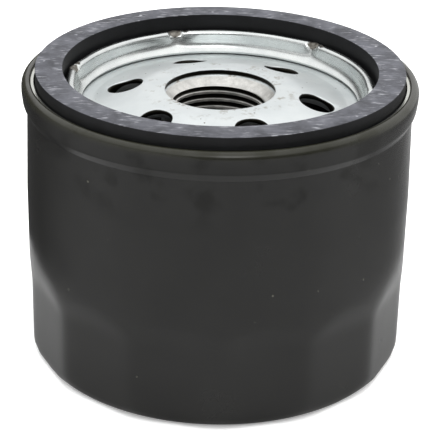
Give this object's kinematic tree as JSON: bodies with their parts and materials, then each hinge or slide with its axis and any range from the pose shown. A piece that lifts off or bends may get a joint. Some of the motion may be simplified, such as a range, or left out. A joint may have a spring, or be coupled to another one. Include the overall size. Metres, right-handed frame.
{
  "type": "spin-on oil filter",
  "caption": "Short black spin-on oil filter with a flat-sided closed end, rolled seam, square gasket, dished steel tapping plate with inlet holes and threaded hub, and full internals.",
  "frame": {"origin": "centre of the closed end, on the plane that the filter stands on", "axes": "+Z along the filter's axis, towards the threaded end and gasket; -Y is the front"},
  "size_m": [0.076, 0.076, 0.0582],
  "materials": {
    "can_paint": "satin black paint on drawn steel",
    "lid_zinc": "zinc-plated pressed sheet steel",
    "plate_zinc": "zinc-plated thick steel plate",
    "gasket_rubber": "square-cut nitrile, dusted and lightly scuffed",
    "seam_compound": "cured sealing compound",
    "valve_rubber": "moulded nitrile",
    "cap_tinplate": "pressed tinplate",
    "plastisol": "oven-cured plastisol adhesive",
    "filter_paper": "resin-treated pleated paper",
    "clip_steel": "bright folded steel strip",
    "tube_steel": "perforated and rolled steel sheet",
    "valve_steel": "stamped plated steel",
    "seal_rubber": "moulded nitrile washer",
    "stem_steel": "headed and turned steel pin",
    "spring_wire": "oil-tempered spring wire",
    "leaf_steel": "blue-grey hardened spring strip"
  },
  "bodies": {
    "shell": {"can": "can_paint", "seaming_lid": "lid_zinc", "seam_compound": "seam_compound", "base_plate": "plate_zinc", "gasket": "gasket_rubber", "element_spring": "leaf_steel"},
    "drain_valve": {"anti_drain_valve": "valve_rubber"},
    "element": {"upper_end_cap": "cap_tinplate", "upper_adhesive": "plastisol", "pleated_paper": "filter_paper", "pleat_clip": "clip_steel", "centre_tube": "tube_steel", "lower_adhesive": "plastisol", "lower_end_cap": "cap_tinplate", "bypass_seat": "valve_steel", "bypass_cage": "valve_steel", "bypass_spring": "spring_wire"},
    "poppet": {"bypass_seal": "seal_rubber", "bypass_disc": "valve_steel", "bypass_stem": "stem_steel"}
  },
  "joints": [
    {"name": "element_float", "type": "slide", "parent": "shell", "child": "element", "axis": [0, 0, -1], "range_m": [0, 0.0015], "stiffness_N_per_m": 3000, "springref_m": -0.0006, "deforming": ["element_spring"]},
    {"name": "bypass_lift", "type": "slide", "parent": "element", "child": "poppet", "axis": [0, 0, 1], "range_m": [0, 0.003], "stiffness_N_per_m": 150, "springref_m": -0.0003, "deforming": ["bypass_spring"]},
    {"name": "drain_valve_lift", "type": "slide", "parent": "shell", "child": "drain_valve", "axis": [0, 0, -1], "range_m": [0, 0.001], "stiffness_N_per_m": 200, "springref_m": -0.0006}
  ]
}
